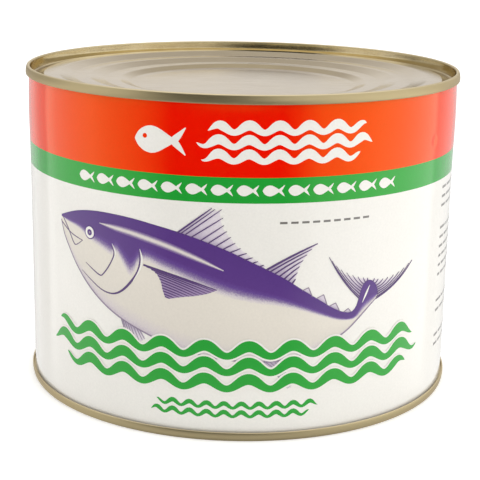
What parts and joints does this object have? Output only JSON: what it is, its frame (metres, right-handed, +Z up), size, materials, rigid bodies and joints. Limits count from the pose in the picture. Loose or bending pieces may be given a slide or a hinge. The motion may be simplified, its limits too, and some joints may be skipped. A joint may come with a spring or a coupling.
{
  "type": "tuna can",
  "caption": "Large food-service fish can, shut: printed steel body with a stepped, gold-lacquered end double-seamed on at the top and bottom.",
  "frame": {"origin": "centre of the circle on which the bottom seam stands", "axes": "+Z up along the can's axis; -Y towards the middle of the printed front"},
  "size_m": [0.1559, 0.1558, 0.1138],
  "materials": {
    "printed_plate": "Steel plate printed in gloss red, green and white under clear varnish",
    "lacquered_end": "Tinplate with a thin pale gold lacquer, satin on the panel and brighter on the seam"
  },
  "bodies": {
    "root": {"can_body": "printed_plate", "top_end": "lacquered_end", "bottom_end": "lacquered_end"}
  },
  "joints": []
}
